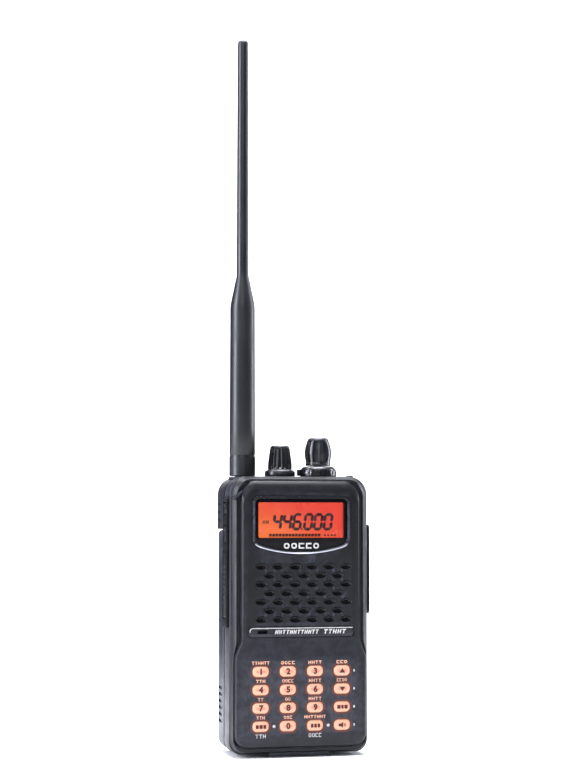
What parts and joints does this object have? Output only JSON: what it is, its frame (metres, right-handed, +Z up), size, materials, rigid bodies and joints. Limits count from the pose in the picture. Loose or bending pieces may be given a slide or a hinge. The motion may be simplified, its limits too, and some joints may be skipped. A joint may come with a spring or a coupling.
{
  "type": "handheld aviation radio",
  "caption": "Handheld radio with a lit display, keypad, speaker grille, side talk button, top knobs, screw-on whip antenna, slide-off battery pack and belt clip.",
  "frame": {"origin": "centre of the underside of the foot, on the rear frame", "axes": "+Z up along the antenna, front face towards -Y, +X to the right of someone facing the front"},
  "size_m": [0.0579, 0.0376, 0.286],
  "materials": {
    "case_plastic": "dark grey satin moulded plastic",
    "label_plastic": "glossy dark bar with a pale edge",
    "frame_metal": "die casting with dark satin paint",
    "gasket_rubber": "soft matt",
    "window_plastic": "glossy black window round a clear pane",
    "display_glass": "red-orange lit liquid crystal",
    "light_guide": "frosted",
    "key_silicone": "translucent, lit pale orange from behind",
    "web_silicone": "translucent",
    "board": "solder mask",
    "steel": "fine brushed",
    "brass": "turned",
    "cloth": "fine black weave",
    "cell_wrap": "printed film over a metal can",
    "lamp_lens": "frosted lens",
    "knob_plastic": "dark satin, fluted",
    "antenna_rubber": "smooth satin",
    "pad_rubber": "dark matt grip rubber",
    "cover_rubber": "dark matt rubber flap",
    "clip_plastic": "dark satin"
  },
  "bodies": {
    "radio": {"front_case": "case_plastic", "rear_frame": "frame_metal", "case_gasket": "gasket_rubber", "display_window": "window_plastic", "lcd_panel": "display_glass", "backlight_plate": "light_guide", "keypad_web": "web_silicone", "dome_sheet": "steel", "speaker": "steel", "speaker_cloth": "cloth", "microphone": "steel", "main_board": "board", "rf_shield": "steel", "antenna_socket": "brass", "dial_encoder": "steel", "volume_pot": "steel", "status_light": "lamp_lens", "left_pad": "pad_rubber", "jack_block": "pad_rubber", "contact_block": "brass", "case_screw_1": "steel", "case_screw_2": "steel", "clip_bracket": "steel", "clip_pin": "steel", "clip_spring": "steel", "label_bar": "label_plastic"},
    "battery": {"battery_case": "case_plastic", "battery_cover": "case_plastic", "battery_cell_1": "cell_wrap", "battery_cell_2": "cell_wrap", "battery_terminals": "brass"},
    "battery_latch": {"battery_latch": "knob_plastic"},
    "ptt_button": {"ptt_button": "pad_rubber"},
    "monitor_button": {"monitor_button": "pad_rubber"},
    "lamp_button": {"lamp_button": "pad_rubber"},
    "dial_knob": {"dial_knob": "knob_plastic", "dial_shaft": "brass"},
    "volume_knob": {"volume_knob": "knob_plastic", "volume_shaft": "brass"},
    "squelch_ring": {"squelch_ring": "knob_plastic"},
    "antenna_plug": {"antenna_plug": "brass"},
    "antenna": {"antenna": "antenna_rubber"},
    "jack_cover": {"jack_cover": "cover_rubber"},
    "belt_clip": {"belt_clip": "clip_plastic"},
    "key_1": {"key_1": "key_silicone"},
    "key_2": {"key_2": "key_silicone"},
    "key_3": {"key_3": "key_silicone"},
    "key_up": {"key_up": "key_silicone"},
    "key_4": {"key_4": "key_silicone"},
    "key_5": {"key_5": "key_silicone"},
    "key_6": {"key_6": "key_silicone"},
    "key_down": {"key_down": "key_silicone"},
    "key_7": {"key_7": "key_silicone"},
    "key_8": {"key_8": "key_silicone"},
    "key_9": {"key_9": "key_silicone"},
    "key_menu": {"key_menu": "key_silicone"},
    "key_mode": {"key_mode": "key_silicone"},
    "key_0": {"key_0": "key_silicone"},
    "key_band": {"key_band": "key_silicone"},
    "key_call": {"key_call": "key_silicone"}
  },
  "joints": [
    {"name": "battery_slide", "type": "slide", "parent": "radio", "child": "battery", "axis": [0, 0, -1], "range_m": [0, 0.095]},
    {"name": "battery_latch_slide", "type": "slide", "parent": "battery", "child": "battery_latch", "axis": [0, 0, 1], "range_m": [0, 0.0018], "stiffness_N_per_m": 600, "springref_m": -0.0005},
    {"name": "ptt_press", "type": "slide", "parent": "radio", "child": "ptt_button", "axis": [1, 0, 0], "range_m": [0, 0.0009], "stiffness_N_per_m": 1500, "springref_m": -0.0002},
    {"name": "monitor_press", "type": "slide", "parent": "radio", "child": "monitor_button", "axis": [1, 0, 0], "range_m": [0, 0.0006], "stiffness_N_per_m": 2000, "springref_m": -0.0002},
    {"name": "lamp_press", "type": "slide", "parent": "radio", "child": "lamp_button", "axis": [1, 0, 0], "range_m": [0, 0.0006], "stiffness_N_per_m": 2000, "springref_m": -0.0002},
    {"name": "dial_turn", "type": "hinge", "parent": "radio", "child": "dial_knob", "pos_m": [-0.0041, 0.0046, 0.1093], "axis": [0, 0, -1], "continuous": true},
    {"name": "volume_turn", "type": "hinge", "parent": "radio", "child": "volume_knob", "pos_m": [0.0117, 0.0046, 0.1136], "axis": [0, 0, -1], "range_deg": [0, 270]},
    {"name": "squelch_turn", "type": "hinge", "parent": "radio", "child": "squelch_ring", "pos_m": [0.0117, 0.0046, 0.1093], "axis": [0, 0, -1], "range_deg": [0, 270]},
    {"name": "antenna_lift", "type": "slide", "parent": "radio", "child": "antenna_plug", "axis": [0, 0, 1], "range_m": [0, 0.0028]},
    {"name": "antenna_turn", "type": "hinge", "parent": "antenna_plug", "child": "antenna", "pos_m": [-0.0195, 0.0046, 0.1093], "axis": [0, 0, 1], "range_deg": [0, 1440]},
    {"name": "jack_cover_swing", "type": "hinge", "parent": "radio", "child": "jack_cover", "pos_m": [0.02865, -0.00645, 0.06755], "axis": [0, 1, 0], "range_deg": [0, 110]},
    {"name": "belt_clip_swing", "type": "hinge", "parent": "radio", "child": "belt_clip", "pos_m": [0, 0.0189, 0.099], "axis": [1, 0, 0], "range_deg": [0, 12], "stiffness_Nm_per_rad": 0.4, "springref_deg": -5.73},
    {"name": "key_1_press", "type": "slide", "parent": "radio", "child": "key_1", "axis": [0, 1, 0], "range_m": [0, 0.0005], "stiffness_N_per_m": 2500, "springref_m": -0.0001},
    {"name": "key_2_press", "type": "slide", "parent": "radio", "child": "key_2", "axis": [0, 1, 0], "range_m": [0, 0.0005], "stiffness_N_per_m": 2500, "springref_m": -0.0001},
    {"name": "key_3_press", "type": "slide", "parent": "radio", "child": "key_3", "axis": [0, 1, 0], "range_m": [0, 0.0005], "stiffness_N_per_m": 2500, "springref_m": -0.0001},
    {"name": "key_up_press", "type": "slide", "parent": "radio", "child": "key_up", "axis": [0, 1, 0], "range_m": [0, 0.0005], "stiffness_N_per_m": 2500, "springref_m": -0.0001},
    {"name": "key_4_press", "type": "slide", "parent": "radio", "child": "key_4", "axis": [0, 1, 0], "range_m": [0, 0.0005], "stiffness_N_per_m": 2500, "springref_m": -0.0001},
    {"name": "key_5_press", "type": "slide", "parent": "radio", "child": "key_5", "axis": [0, 1, 0], "range_m": [0, 0.0005], "stiffness_N_per_m": 2500, "springref_m": -0.0001},
    {"name": "key_6_press", "type": "slide", "parent": "radio", "child": "key_6", "axis": [0, 1, 0], "range_m": [0, 0.0005], "stiffness_N_per_m": 2500, "springref_m": -0.0001},
    {"name": "key_down_press", "type": "slide", "parent": "radio", "child": "key_down", "axis": [0, 1, 0], "range_m": [0, 0.0005], "stiffness_N_per_m": 2500, "springref_m": -0.0001},
    {"name": "key_7_press", "type": "slide", "parent": "radio", "child": "key_7", "axis": [0, 1, 0], "range_m": [0, 0.0005], "stiffness_N_per_m": 2500, "springref_m": -0.0001},
    {"name": "key_8_press", "type": "slide", "parent": "radio", "child": "key_8", "axis": [0, 1, 0], "range_m": [0, 0.0005], "stiffness_N_per_m": 2500, "springref_m": -0.0001},
    {"name": "key_9_press", "type": "slide", "parent": "radio", "child": "key_9", "axis": [0, 1, 0], "range_m": [0, 0.0005], "stiffness_N_per_m": 2500, "springref_m": -0.0001},
    {"name": "key_menu_press", "type": "slide", "parent": "radio", "child": "key_menu", "axis": [0, 1, 0], "range_m": [0, 0.0005], "stiffness_N_per_m": 2500, "springref_m": -0.0001},
    {"name": "key_mode_press", "type": "slide", "parent": "radio", "child": "key_mode", "axis": [0, 1, 0], "range_m": [0, 0.0005], "stiffness_N_per_m": 2500, "springref_m": -0.0001},
    {"name": "key_0_press", "type": "slide", "parent": "radio", "child": "key_0", "axis": [0, 1, 0], "range_m": [0, 0.0005], "stiffness_N_per_m": 2500, "springref_m": -0.0001},
    {"name": "key_band_press", "type": "slide", "parent": "radio", "child": "key_band", "axis": [0, 1, 0], "range_m": [0, 0.0005], "stiffness_N_per_m": 2500, "springref_m": -0.0001},
    {"name": "key_call_press", "type": "slide", "parent": "radio", "child": "key_call", "axis": [0, 1, 0], "range_m": [0, 0.0005], "stiffness_N_per_m": 2500, "springref_m": -0.0001}
  ],
  "couplings": [
    {"joint": "antenna_turn", "follows": "antenna_lift", "rad_per_m": 8904.7}
  ]
}
